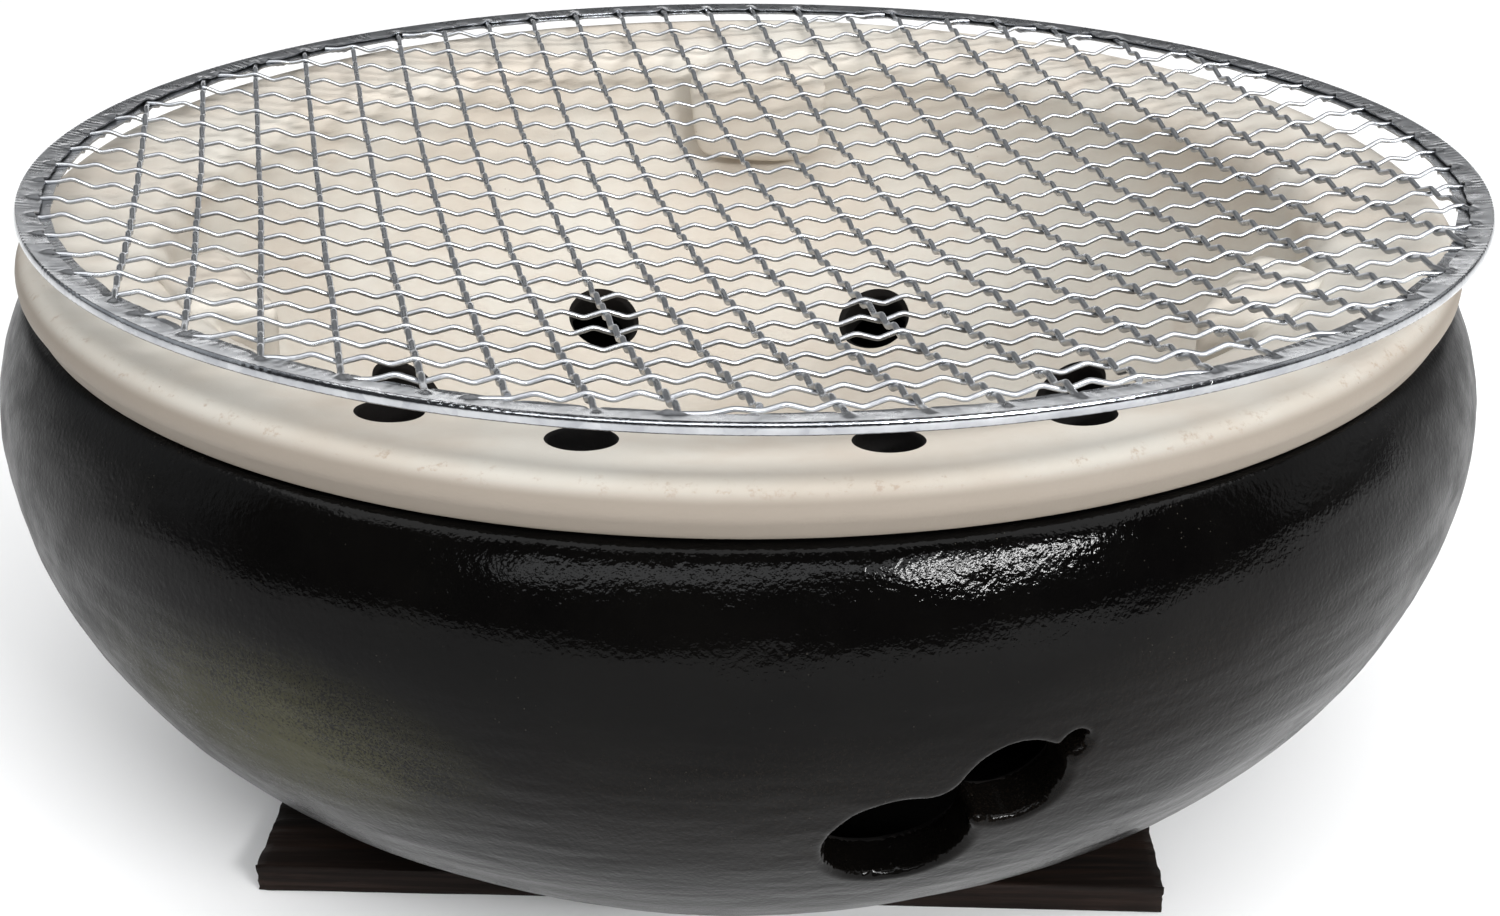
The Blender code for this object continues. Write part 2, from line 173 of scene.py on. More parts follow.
def resampled(points, spacing):
    """The polyline with new points whose distance apart follows spacing(points)."""
    points = np.array(points, float)
    steps = np.linalg.norm(np.diff(points, axis=0), axis=1)
    along = np.concatenate([[0], np.cumsum(steps)])
    fine = np.linspace(0, along[-1], max(200, int(along[-1] / (0.1 * MM))))
    dense = np.stack([np.interp(fine, along, points[:, k]) for k in range(points.shape[1])], 1)
    cost = np.concatenate([[0], np.cumsum(np.diff(fine) / spacing(dense[1:]))])
    count = int(cost[-1]) + 2
    at = np.interp(np.linspace(0, cost[-1], count), cost, fine)
    return np.stack([np.interp(at, along, points[:, k]) for k in range(points.shape[1])], 1)


def spaced_angles(spacing):
    """Angles right round the axis whose steps follow spacing(angles)."""
    fine = np.linspace(-math.pi, math.pi, 7201)
    cost = np.concatenate([[0], np.cumsum(np.diff(fine) / spacing(fine[1:]))])
    count = int(cost[-1]) + 1
    return np.interp(np.linspace(0, cost[-1], count + 1)[:-1], cost, fine)


def new_object(name, data):
    obj = bpy.data.objects.new(name, data)
    bpy.context.scene.collection.objects.link(obj)
    return obj


def mesh_object(name, verts, faces, materials, smooth=math.radians(50)):
    """A new smooth-shaded object whose edges are sharp where they turn more than smooth."""
    mesh = bpy.data.meshes.new(name)
    mesh.from_pydata([tuple(v) for v in verts], [], [tuple(f) for f in faces])
    mesh.validate()
    mesh.shade_smooth()
    mesh.set_sharp_from_angle(angle=smooth)
    for material in materials:
        mesh.materials.append(material)
    return new_object(name, mesh)


def ring_faces(rows, cols, closed_rows=False):
    """Quads of a grid whose columns close on themselves, vertices stored row by row."""
    i = np.arange(rows if closed_rows else rows - 1)[:, None]
    j = np.arange(cols)[None, :]
    a = i * cols + j
    b = i * cols + (j + 1) % cols
    c = ((i + 1) % rows) * cols + (j + 1) % cols
    d = ((i + 1) % rows) * cols + j
    return np.stack([a, b, c, d], -1).reshape(-1, 4)


def turned_points(profile, angles):
    """(rows, columns, 3) points of a profile swept about the Z axis."""
    r, z = profile[:, 0][:, None], profile[:, 1][:, None]
    x = r * np.sin(angles)[None, :]
    y = -r * np.cos(angles)[None, :]
    return np.stack([x, y, np.broadcast_to(z, x.shape)], -1)


def profile_normals(profile):
    """Unit (radius, height) normals to the right of the profile's direction of travel."""
    tangent = np.gradient(profile, axis=0)
    tangent /= np.linalg.norm(tangent, axis=1)[:, None]
    return np.stack([tangent[:, 1], -tangent[:, 0]], 1)


def capped_rings(name, points, materials, low, high):
    """A closed mesh: the grid's rings, and a middle point at each of its two ends."""
    rows, cols = points.shape[:2]
    verts = np.concatenate([points.reshape(-1, 3), [low, high]])
    faces = [tuple(f) for f in ring_faces(rows, cols)]
    last = (rows - 1) * cols
    for j in range(cols):
        faces.append((rows * cols, (j + 1) % cols, j))
        faces.append((rows * cols + 1, last + j, last + (j + 1) % cols))
    return mesh_object(name, verts, faces, materials)


def wave_noise(points, size, seed):
    """Smooth noise, about -1 to 1, at each point; size is the width of its features."""
    shift = Vector((seed * 7.31, seed * 3.17, seed * 5.53))
    flat = np.asarray(points, float).reshape(-1, 3) / size
    values = [noise.fractal(Vector(p) + shift, 1.0, 2.0, 2) for p in flat]
    return np.array(values).reshape(np.shape(points)[:-1])


def painted_shade(obj, points, shaded_face, shaded_cap):
    """Gives capped rings' second material, the near-black painted shade, to the faces that
    shaded_face(row, height) picks, and to the first (0) or last (1) cap."""
    rows, cols = points.shape[:2]
    caps = (rows - 1) * cols
    for polygon in obj.data.polygons:
        if polygon.index < caps:
            shaded = shaded_face(polygon.index // cols, polygon.center.z)
        else:
            shaded = (polygon.index - caps) % 2 == shaded_cap
        if shaded:
            polygon.material_index = 1


def fix_normals(obj):
    bm = bmesh.new()
    bm.from_mesh(obj.data)
    bmesh.ops.recalc_face_normals(bm, faces=bm.faces)
    bm.to_mesh(obj.data)
    bm.free()


def apply_modifiers(obj):
    """Replaces obj's mesh with its modifiers' result."""
    graph = bpy.context.evaluated_depsgraph_get()
    mesh = bpy.data.meshes.new_from_object(obj.evaluated_get(graph))
    mesh.name = obj.name
    obj.modifiers.clear()
    obj.data = mesh


def cut(obj, tools, operation="DIFFERENCE"):
    """Applies each tool to obj; faces that a tool makes keep the tool's material."""
    for tool in tools:
        boolean = obj.modifiers.new(tool.name, "BOOLEAN")
        boolean.operation = operation
        boolean.solver = "EXACT"
        boolean.material_mode = "TRANSFER"
        boolean.object = tool
        apply_modifiers(obj)
        bpy.data.objects.remove(tool, do_unlink=True)
    obj.data.shade_smooth()
    obj.data.set_sharp_from_angle(angle=math.radians(42))


def finish_piece(obj, body, node):
    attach(obj, body)
    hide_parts(node)


# ----- material helpers

class Nodes:
    """Short names for the nodes of one material."""

    def __init__(self, name):
        self.material = bpy.data.materials.new(name)
        self.material.use_nodes = True
        self.tree = self.material.node_tree
        self.shader = self.tree.nodes["Principled BSDF"]
        self.place = self.add("ShaderNodeTexCoord").outputs["Object"]

    def add(self, kind, **settings):
        node = self.tree.nodes.new(kind)
        for key, value in settings.items():
            setattr(node, key, value)
        return node

    def link(self, source, target):
        self.tree.links.new(source, target)

    def feed(self, socket, value):
        """Links another node's output to socket, or sets it to a number or colour."""
        if isinstance(value, bpy.types.NodeSocket):
            self.link(value, socket)
        elif isinstance(value, tuple):
            socket.default_value = (*value, 1.0)
        else:
            socket.default_value = value

    def noise(self, size, detail=4.0, roughness=0.55, place=None, distortion=0.0):
        node = self.add("ShaderNodeTexNoise")
        node.inputs["Scale"].default_value = 1.0 / size
        node.inputs["Detail"].default_value = detail
        node.inputs["Roughness"].default_value = roughness
        node.inputs["Distortion"].default_value = distortion
        self.link(place or self.place, node.inputs["Vector"])
        return node.outputs["Fac"]

    def cells(self, size, output="Distance"):
        node = self.add("ShaderNodeTexVoronoi")
        node.inputs["Scale"].default_value = 1.0 / size
        self.link(self.place, node.inputs["Vector"])
        return node.outputs[output]

    def stretched(self, scale, turn=0.0):
        """The position, turned about Z and scaled along each axis."""
        node = self.add("ShaderNodeMapping")
        node.inputs["Scale"].default_value = scale
        node.inputs["Rotation"].default_value = (0.0, 0.0, turn)
        self.link(self.place, node.inputs["Vector"])
        return node.outputs["Vector"]

    def ramp(self, value, *stops):
        """Colour that follows value through the stops, each a (position, colour)."""
        node = self.add("ShaderNodeValToRGB")
        elements = node.color_ramp.elements
        while len(elements) < len(stops):
            elements.new(0.5)
        for element, (position, color) in zip(elements, stops):
            element.position = position
            element.color = (*color, 1.0)
        self.link(value, node.inputs["Fac"])
        return node.outputs["Color"]

    def spread(self, value, low, high, to_low=0.0, to_high=1.0):
        """A soft step from to_low, where value is low, up to to_high, where it is high."""
        node = self.add("ShaderNodeMapRange", interpolation_type="SMOOTHSTEP")
        ends = {"From Min": low, "From Max": high, "To Min": to_low, "To Max": to_high}
        for key, number in ends.items():
            node.inputs[key].default_value = number
        self.link(value, node.inputs["Value"])
        return node.outputs["Result"]

    def math(self, operation, a, b=0.0):
        node = self.add("ShaderNodeMath", operation=operation)
        self.feed(node.inputs[0], a)
        self.feed(node.inputs[1], b)
        return node.outputs[0]

    def times(self, a, b):
        return self.math("MULTIPLY", a, b)

    def plus(self, a, b):
        return self.math("ADD", a, b)

    def mix(self, share, a, b):
        """The colour that is share of b and the rest a."""
        node = self.add("ShaderNodeMix", data_type="RGBA")
        self.feed(node.inputs["Factor"], share)
        color_a, color_b = node.inputs[6:8]
        self.feed(color_a, a)
        self.feed(color_b, b)
        return node.outputs[2]

    def near(self, center, radii, softness):
        """1 inside an ellipsoid about center, falling softly to 0 outside it."""
        node = self.add("ShaderNodeMapping", vector_type="POINT")
        node.inputs["Location"].default_value = tuple(-c / r for c, r in zip(center, radii))
        node.inputs["Scale"].default_value = tuple(1.0 / r for r in radii)
        self.link(self.place, node.inputs["Vector"])
        length = self.add("ShaderNodeVectorMath", operation="LENGTH")
        self.link(node.outputs["Vector"], length.inputs[0])
        return self.spread(length.outputs["Value"], 1.0 + softness, 1.0 - softness)

    def parts(self, vector):
        """A vector's x, y and z."""
        node = self.add("ShaderNodeSeparateXYZ")
        self.link(vector, node.inputs[0])
        return node.outputs

    def bump(self, height, distance, strength, normal=None):
        node = self.add("ShaderNodeBump")
        node.inputs["Strength"].default_value = strength
        node.inputs["Distance"].default_value = distance
        self.link(height, node.inputs["Height"])
        if normal:
            self.link(normal, node.inputs["Normal"])
        return node.outputs["Normal"]

    def finish(self, **inputs):
        """Feeds the shader's sockets, named with _ for each space."""
        for key, value in inputs.items():
            self.feed(self.shader.inputs[key.replace("_", " ")], value)
        return self.material


# ----- materials

def glaze_material():
    """Gloss black glaze over gritty clay: fine grit, throwing rings, thin olive and brown patches."""
    n = Nodes("black_glaze")
    olive_place = polar(141 * MM, math.radians(-32), LIP_Z - 44 * MM)
    olive = n.near(olive_place, (27 * MM, 30 * MM, 13 * MM), 0.85)
    thin_place = polar(150 * MM, math.radians(4), BELLY_Z - 22 * MM)
    thin = n.near(thin_place, (50 * MM, 30 * MM, 16 * MM), 0.6)
    thin_right_place = polar(150 * MM, math.radians(33), BELLY_Z - 8 * MM)
    thin_right = n.near(thin_right_place, (36 * MM, 36 * MM, 14 * MM), 0.6)
    fleck = n.noise(0.45 * MM, 3.0, 0.7)
    clouds = n.noise(24 * MM, 4.0, 0.6)
    broken = n.spread(n.plus(fleck, n.times(clouds, 0.4)), 0.56, 0.78)
    olive_share = n.times(n.times(olive, broken), 0.9)
    brown_share = n.times(n.plus(thin, thin_right), n.spread(fleck, 0.45, 0.75, 0.05, 0.5))
    base = n.ramp(clouds, (0.3, (0.0010, 0.0009, 0.0009)), (0.7, (0.0022, 0.0020, 0.0018)))
    base = n.mix(brown_share, base, (0.014, 0.010, 0.007))
    base = n.mix(olive_share, base, (0.043, 0.041, 0.018))
    grit = n.spread(n.cells(1.3 * MM), 0.10, 0.05)
    speck = n.times(grit, n.spread(n.noise(15 * MM, 2.0), 0.5, 0.68))
    base = n.mix(n.times(speck, 0.5), base, (0.075, 0.068, 0.055))

    rings = n.noise(1.0, 3.0, 0.5, n.stretched((6.0, 6.0, 420.0)))
    peel = n.noise(1.3 * MM, 3.0, 0.6)
    pits = n.spread(n.cells(2.3 * MM), 0.0, 0.22)
    height = n.plus(n.plus(n.times(peel, 0.60), n.times(rings, 0.30)), n.times(pits, 0.16))
    fine = n.bump(n.noise(1.0 * MM, 2.0, 0.55), 0.08 * MM, 0.9)
    normal = n.bump(height, 0.07 * MM, 0.9, fine)

    glossy = n.near(polar(140 * MM, math.radians(7), BELLY_Z), (112 * MM, 70 * MM, 60 * MM), 0.35)
    satin = n.spread(n.noise(9 * MM, 5.0, 0.65), 0.35, 0.7, 0.30, 0.42)
    polish = n.spread(n.noise(7 * MM, 5.0, 0.65), 0.35, 0.7, 0.04, 0.10)
    rough = n.plus(n.times(glossy, polish), n.times(n.math("SUBTRACT", 1.0, glossy), satin))
    rough = n.plus(rough, n.times(olive_share, 0.35))
    return n.finish(Base_Color=base, Roughness=rough, Normal=normal, Specular_IOR_Level=0.085)


def clay_material():
    """Unglazed clay: warm mottling, fine dark specks, pores and faint smears from smoothing, with
    painted shade on the rim's outer face.
    """
    n = Nodes("cream_clay")
    mottle = n.noise(46 * MM, 5.0, 0.6)
    blush = n.noise(17 * MM, 3.0, 0.55, n.stretched((1.0, 1.0, 2.4)))
    base = n.mix(n.spread(mottle, 0.34, 0.68), (0.545, 0.517, 0.463), (0.50, 0.448, 0.383))
    base = n.mix(n.times(n.spread(blush, 0.52, 0.74), 0.35), base, (0.45, 0.377, 0.31))
    specks = n.times(n.spread(n.cells(3.6 * MM), 0.06, 0.03), n.spread(n.noise(6 * MM), 0.5, 0.62))
    base = n.mix(n.times(specks, 0.55), base, (0.16, 0.10, 0.06))

    x, y, z = n.parts(n.place)
    around = n.math("SQRT", n.plus(n.times(x, x), n.times(y, y)))
    from_shoulder = n.math("ABSOLUTE", n.math("SUBTRACT", z, RIM_TOP - 1.0 * MM))
    shoulder = n.times(n.spread(from_shoulder, 1.5 * MM, 0.3 * MM),
                       n.spread(around, RIM_RADIUS - 6 * MM, RIM_RADIUS - 3 * MM))
    grime = n.times(shoulder, n.spread(n.noise(2.6 * MM, 6.0, 0.72), 0.54, 0.68))
    base = n.mix(n.times(grime, 0.7), base, (0.36, 0.27, 0.20))
    # Painted shade: the rim's outer face below its top edge is darkened, as if lit mostly from above.
    painted_face_shade = n.times(n.spread(z, RIM_TOP - 0.3 * MM, RIM_TOP - 2.8 * MM),
                    n.spread(around, RIM_RADIUS - 5 * MM, RIM_RADIUS - 3.5 * MM))
    base = n.mix(painted_face_shade, base, (0.222, 0.190, 0.155))

    pores = n.noise(0.8 * MM, 4.0, 0.65)
    smear = n.noise(1.0, 3.0, 0.5, n.stretched((60.0, 60.0, 900.0)))
    height = n.plus(n.times(pores, 0.6), n.times(smear, 0.4))
    normal = n.bump(height, 0.16 * MM, 0.55)
    rough = n.spread(mottle, 0.3, 0.7, 0.62, 0.80)
    return n.finish(Base_Color=base, Roughness=rough, Normal=normal)


def recess_shade_material():
    """Near-black clay of the air holes, the liner's outside and the bowl's inside: painted shade for
    the dark in these recesses and between bowl and liner.
    """
    n = Nodes("recess_shade_clay")
    # Painted shade: the tone varies between near-black values only.
    painted_shade = n.noise(14 * MM, 5.0, 0.6)
    base = n.ramp(painted_shade, (0.3, (0.003, 0.003, 0.003)), (0.75, (0.012, 0.010, 0.009)))
    normal = n.bump(n.noise(1.1 * MM, 4.0, 0.65), 0.18 * MM, 0.7)
    rough = n.spread(painted_shade, 0.3, 0.7, 0.75, 0.95)
    return n.finish(Base_Color=base, Roughness=rough, Normal=normal, Specular_IOR_Level=0.15)


def roller_ticks(n, normal, rough):
    """The roller's fine marks across the rim sheet, and the smooth polish of its outer fold."""
    run = n.add("ShaderNodeAttribute", attribute_name="rim_run").outputs["Vector"]
    wave = n.add("ShaderNodeTexWave", wave_type="BANDS", bands_direction="X")
    wave.inputs["Scale"].default_value = 1.0 / (0.9 * math.tau)
    wave.inputs["Distortion"].default_value = 1.2
    wave.inputs["Detail"].default_value = 2.0
    n.link(run, wave.inputs["Vector"])
    tick = n.times(wave.outputs["Fac"], n.spread(n.noise(9 * MM, 2.0), 0.42, 0.62))
    radius = n.parts(run)["Y"]
    fold = n.spread(radius, CREASE_RADIUS / MM - 0.12, CREASE_RADIUS / MM + 0.08)
    return n.bump(tick, 0.06 * MM, 0.6, normal), n.times(rough, n.spread(fold, 0.0, 1.0, 1.0, 0.30))


def zinc_material(name, dark, light, smoothest, roughest, spangle_size, rolled):
    """Galvanised steel: spangles, fine scratches and dull spots, and ticks where it was rolled."""
    n = Nodes(name)
    split = n.add("ShaderNodeSeparateColor")
    n.link(n.cells(spangle_size, output="Color"), split.inputs[0])
    cloud = n.noise(6 * MM, 4.0, 0.6)
    tone = n.plus(n.times(split.outputs[0], 0.20), n.times(cloud, 0.8))
    base = n.mix(n.spread(tone, 0.25, 0.80), dark, light)
    dull = n.spread(n.noise(1.6 * MM, 5.0, 0.7), 0.60, 0.72)
    base = n.mix(n.times(dull, 0.35), base, (0.30, 0.31, 0.33))
    rough = n.plus(n.spread(tone, 0.2, 0.8, roughest, smoothest), n.times(dull, 0.15))
    scratch = n.noise(0.35 * MM, 4.0, 0.7, distortion=0.6)
    normal = n.bump(n.plus(n.times(scratch, 0.5), n.times(cloud, 0.8)), 0.06 * MM, 0.7)
    if rolled:
        normal, rough = roller_ticks(n, normal, rough)
    return n.finish(Base_Color=base, Metallic=1.0, Roughness=rough, Normal=normal)


def board_material():
    """Charred cedar: near-black with reddish streaks along the raised grain."""
    n = Nodes("charred_wood")
    grain = n.noise(1.0, 6.0, 0.6, n.stretched((7.0, 130.0, 260.0), -BOARD_TURN), 0.4)
    fine = n.noise(1.0, 5.0, 0.65, n.stretched((40.0, 900.0, 900.0), -BOARD_TURN))
    base = n.ramp(grain, (0.30, (0.0024, 0.0016, 0.0012)), (0.52, (0.0065, 0.0038, 0.0027)),
                  (0.72, (0.020, 0.0105, 0.0072)))
    base = n.mix(n.times(n.spread(fine, 0.5, 0.7), 0.4), base, (0.026, 0.0145, 0.0105))
    normal = n.bump(n.plus(grain, n.times(fine, 0.35)), 0.5 * MM, 0.8)
    rough = n.spread(grain, 0.3, 0.75, 0.85, 0.5)
    return n.finish(Base_Color=base, Roughness=rough, Normal=normal, Specular_IOR_Level=0.14)


# ----- glazed bowl

def bowl_profile():
    """From the foot's underside up the outside, over the lip and down the inside."""
    foot_angle = -math.asin((BELLY_Z - FOOT_Z - FOOT_RECESS) / UNDERSIDE_FALL)
    lip_angle = math.asin((BELLY_DROP - LIP_ROUND) / SHOULDER_RISE)
    outer = arc((0, BELLY_Z), (BELLY_RADIUS, UNDERSIDE_FALL), foot_angle, 0, 120)
    outer += arc((0, BELLY_Z), (BELLY_RADIUS, SHOULDER_RISE), 0, lip_angle, 60)[1:]
    foot_outer = outer[0][0]
    lip_outer = outer[-1][0]

    inner_radius = BELLY_RADIUS - BOWL_WALL
    inner_fall = UNDERSIDE_FALL - BOWL_WALL / 2
    floor_z = FOOT_Z + BOWL_FLOOR
    floor_angle = -math.asin((BELLY_Z - floor_z) / inner_fall)
    lip_inside = math.acos(LIP_INNER_RADIUS / inner_radius)
    rise = BELLY_DROP * INNER_SHOULDER / math.sin(lip_inside)
    inner = arc((0, BELLY_Z), (inner_radius, rise), lip_inside, 0, 30)
    inner += arc((0, BELLY_Z), (inner_radius, inner_fall), 0, floor_angle, 60)[1:]

    recess = FOOT_Z + FOOT_RECESS
    foot_inner = foot_outer - FOOT_WIDTH
    start = [(5 * MM, recess), (foot_inner - FOOT_RECESS, recess)]
    start += arc((foot_inner - FOOT_RECESS, FOOT_Z), (FOOT_RECESS, FOOT_RECESS), math.pi / 2, 0, 6)[1:]
    start += arc((foot_outer - 2 * FOOT_RECESS, recess), (2 * FOOT_RECESS, FOOT_RECESS),
                 -math.pi / 2, 0, 10)
    lip = [(lip_outer - LIP_ROUND, LIP_Z), (LIP_INNER_RADIUS + LIP_ROUND, LIP_Z)]
    lip += [(LIP_INNER_RADIUS, LIP_Z - LIP_ROUND)]
    return start + outer[1:] + lip + inner + [(5 * MM, floor_z)]


def gourd_half_outline(fillet_radii, steps):
    """One side of the gourd's outline as tangent arcs: lobe, fillet, lobe, fillet, stem."""
    centers = [Vector((x, 0.0)) for x, _ in GOURD_LOBES]
    radii = [r for _, r in GOURD_LOBES]
    fillets = []
    for i, fillet in enumerate(fillet_radii):
        a = radii[i] + fillet
        b = radii[i + 1] + fillet
        d = (centers[i + 1] - centers[i]).length
        x = (a * a - b * b + d * d) / (2 * d)
        fillets.append(centers[i] + Vector((x, math.sqrt(a * a - x * x))))
    points = []
    angle = math.pi
    for i, center in enumerate(centers):
        end = (fillets[i] - center) if i < len(fillets) else Vector((1.0, 0.0))
        end_angle = math.atan2(end.y, end.x)
        points += arc(center, (radii[i], radii[i]), angle, end_angle, steps)
        if i < len(fillets):
            hollow = fillet_radii[i]
            start = center - fillets[i]
            after = centers[i + 1] - fillets[i]
            points += arc(fillets[i], (hollow, hollow), math.atan2(start.y, start.x),
                          math.atan2(after.y, after.x), steps // 2)[1:-1]
            angle = math.atan2(-after.y, -after.x)
    return points


def gourd_outline(steps=26):
    """The whole gourd: its waist is softer on the upper side than on the lower."""
    upper = gourd_half_outline(GOURD_UPPER_FILLETS, steps)
    lower = gourd_half_outline(GOURD_LOWER_FILLETS, steps)
    return np.array(upper + [(x, -y) for x, y in reversed(lower[1:-1])])


def vent_frame():
    """The vent's own axes: along the gourd, across it, and outwards; origin on the bowl's skin."""
    aim = polar(math.cos(VENT_AIM_DOWN), VENT_AIM_SIDE, -math.sin(VENT_AIM_DOWN))
    side = Vector((0, 0, 1)).cross(aim).normalized()
    up = aim.cross(side)
    along = side * math.cos(GOURD_LEAN) + up * math.sin(GOURD_LEAN)
    across = aim.cross(along)
    drop = VENT_DROP - BELLY_DROP
    surface = BELLY_RADIUS * math.sqrt(1 - (drop / UNDERSIDE_FALL) ** 2)
    place = polar(surface, VENT_SIDE, LIP_Z - VENT_DROP)
    return Matrix.Translation(place) @ Matrix((along, across, aim)).transposed().to_4x4()


def outline_distance(points, outline):
    """Distance of 2-D points from a closed outline, negative inside it."""
    a = outline
    b = np.roll(outline, -1, axis=0)
    ab = b - a
    ap = points[:, None, :] - a[None]
    share = np.clip((ap * ab).sum(-1) / (ab * ab).sum(-1), 0, 1)
    distance = np.linalg.norm(ap - share[..., None] * ab, axis=-1).min(1)
    x, y = points[:, 0][:, None], points[:, 1][:, None]
    crosses = (a[:, 1] > y) != (b[:, 1] > y)
    safe = np.where(ab[:, 1] == 0, 1.0, ab[:, 1])
    at = a[:, 0] + (y - a[:, 1]) / safe * ab[:, 0]
    inside = (crosses & (x < at)).sum(1) % 2 == 1
    return np.where(inside, -distance, distance)


def round_vent_edges(points):
    """Sinks the skin in a quarter round along the gourd's outline, on both faces of the wall."""
    inverse = np.array(vent_frame().inverted())
    flat = points.reshape(-1, 3)
    local = flat @ inverse[:3, :3].T + inverse[:3, 3]
    from_middle = np.abs(local - (GOURD_MIDDLE, 0.0, -4 * MM))
    chosen = np.nonzero((from_middle < (32 * MM, 18 * MM, 22 * MM)).all(1))[0]
    distance = outline_distance(local[chosen, :2], gourd_outline())
    near = np.clip(distance, 0, VENT_EDGE)
    depth = VENT_EDGE - np.sqrt(np.maximum(VENT_EDGE ** 2 - (VENT_EDGE - near) ** 2, 0))
    radius = np.hypot(flat[chosen, 0], flat[chosen, 1])
    drop = np.clip((BELLY_Z - flat[chosen, 2]) / UNDERSIDE_FALL, -1, 1)
    skin = BELLY_RADIUS * np.sqrt(1 - drop ** 2)
    sign = np.where(radius > skin - BOWL_WALL / 2, -1.0, 1.0)
    outward = np.array(vent_frame().col[2].xyz)
    flat[chosen] += (sign * depth)[:, None] * outward
    return flat.reshape(points.shape)


def vent_tool(material):
    """The gourd-shaped cutter, its sides slightly uneven as if cut by hand."""
    outline = gourd_outline()
    waist = np.array((GOURD_MIDDLE, 0.0))
    inward = np.column_stack([waist - outline, np.zeros(len(outline))])
    inward /= np.linalg.norm(inward, axis=1)[:, None]
    depths = np.linspace(-VENT_INSIDE, VENT_OUTSIDE, 27)
    rings = []
    for depth in depths:
        ring = np.column_stack([outline, np.full(len(outline), depth)])
        fade = min(1.0, max(0.0, -depth / (3 * MM)))
        uneven = wave_noise(ring, 6 * MM, 4.0) * 0.35 * MM * fade
        rings.append(ring + inward * uneven[:, None])
    count = len(outline)
    verts = np.concatenate(rings)
    faces = [tuple(f) for f in ring_faces(len(depths), count)]
    faces.append(tuple(range(count)))
    faces.append(tuple(reversed(range((len(depths) - 1) * count, len(depths) * count))))
    tool = mesh_object("vent_tool", verts, faces, [material])
    tool.data.transform(vent_frame())
    fix_normals(tool)
    return tool


def make_bowl(glaze, recess_shade):
    vent_z = LIP_Z - VENT_DROP + 6 * MM
    vent_angle = math.radians(14.5)

    def spacing(points):
        by_vent = (np.abs(points[:, 1] - vent_z) < 24 * MM) & (points[:, 0] > 118 * MM)
        outside = points[:, 0] > BELLY_RADIUS * 0.55
        return np.where(by_vent, VENT_STEP, np.where(outside, SKIN_STEP, INSIDE_STEP))

    def angle_spacing(angles):
        return np.where(np.abs(angles - vent_angle) < math.radians(13), 0.0040, 0.0155)

    profile = resampled(bowl_profile(), spacing)
    angles = spaced_angles(angle_spacing)
    points = turned_points(profile, angles)
    normal = turned_points(profile_normals(profile), angles)
    outer = np.zeros(len(profile))
    top = int(np.argmax(profile[:, 1]))
    foot_edge = int(np.argmin(profile[:, 1])) + 4
    outer[foot_edge:top] = 1.0
    outer = np.convolve(outer, np.ones(5) / 5, "same")[:, None]
    squashed = points * (1.0, 1.0, 3.2)
    uneven = 0.45 * MM * wave_noise(points, 75 * MM, 1.0)
    uneven += 0.16 * MM * wave_noise(squashed, 21 * MM, 2.0)
    uneven += 0.055 * MM * wave_noise(squashed, 6.5 * MM, 3.0)
    dent = polar(BELLY_RADIUS, math.radians(-76), BELLY_Z - 14 * MM)
    away = np.linalg.norm((points - np.array(dent)) / (30 * MM, 30 * MM, 11 * MM), axis=-1)
    uneven -= 1.1 * MM * np.exp(-away ** 2)
    points = round_vent_edges(points + normal * (uneven * outer)[..., None])
    bowl = capped_rings("glazed_bowl", points, [glaze, recess_shade],
                        (0.0, 0.0, FOOT_Z + FOOT_RECESS), (0.0, 0.0, FOOT_Z + BOWL_FLOOR))
    fix_normals(bowl)
    # Painted shade: the bowl's inside and its inner floor cap take the near-black second material.
    painted_shade(bowl, points, lambda row, height: row >= top + 3, 1)
    cut(bowl, [vent_tool(glaze)])
    finish_piece(bowl, "bowl", "outer_bowl")


# ----- clay liner

def liner_profile():
    """From under the floor up the outside, over the rim and down into the chamber."""
    wall_radius = CHAMBER_RADIUS + LINER_WALL
    wall_fall = CHAMBER_FALL + LINER_WALL
    wall_top = -math.asin(COLLAR_DEPTH / wall_fall)
    wall_bottom = -math.asin((LIP_Z - LINER_BOTTOM) / wall_fall)
    outer = [(4 * MM, LINER_BOTTOM)]
    outer += arc((0, LIP_Z), (wall_radius, wall_fall), wall_bottom, wall_top, 60)
    collar_z = LIP_Z - COLLAR_DEPTH
    outer += [(COLLAR_RADIUS - LIP_ROUND, collar_z), (COLLAR_RADIUS, collar_z + LIP_ROUND)]
    outer += [(COLLAR_RADIUS, RIM_UNDERSIDE)]
    outer += arc((RIM_FOOT_RADIUS - LIP_ROUND, RIM_UNDERSIDE + LIP_ROUND), (LIP_ROUND, LIP_ROUND),
                 -math.pi / 2, -0.1, 8)
    outer += arc((RIM_RADIUS - RIM_ROUND, RIM_TOP - RIM_ROUND), (RIM_ROUND, RIM_ROUND),
                 0, math.radians(88), 18)
    inner_z = RIM_TOP - RIM_SLOPE - RIM_INNER_ROUND
    inner = arc((CHAMBER_RADIUS + RIM_INNER_ROUND, inner_z), (RIM_INNER_ROUND, RIM_INNER_ROUND),
                math.radians(97), math.pi, 16)
    floor_angle = -math.asin(CHAMBER_DEPTH / CHAMBER_FALL)
    inner += arc((0, LIP_Z), (CHAMBER_RADIUS, CHAMBER_FALL), 0, floor_angle, 60)
    corner = CHAMBER_RADIUS * math.cos(floor_angle)
    floor = [(corner * 0.9, CHAMBER_FLOOR_Z - 0.2 * MM), (4 * MM, CHAMBER_FLOOR_Z)]
    return outer + inner + floor


def net_height(x, y):
    """Height of the net's middle surface above its hoop's plane, in the net's frame."""
    reach = np.minimum(np.hypot(x, y) / FLANGE_RADIUS, 1.0)
    return -NET_SAG * (1 - reach * reach)


def lug_top(angle):
    """The lug's top: just below the net's wires at the lug's inner edge."""
    place = polar(LUG_REACH, angle, 0.0)
    sag = float(net_height(place.x, place.y))
    wires = NET_PLACE.translation.z + sag + place.y * math.tan(NET_TILT)
    return wires - WIRE_LIFT - WIRE_RADIUS - LUG_GAP


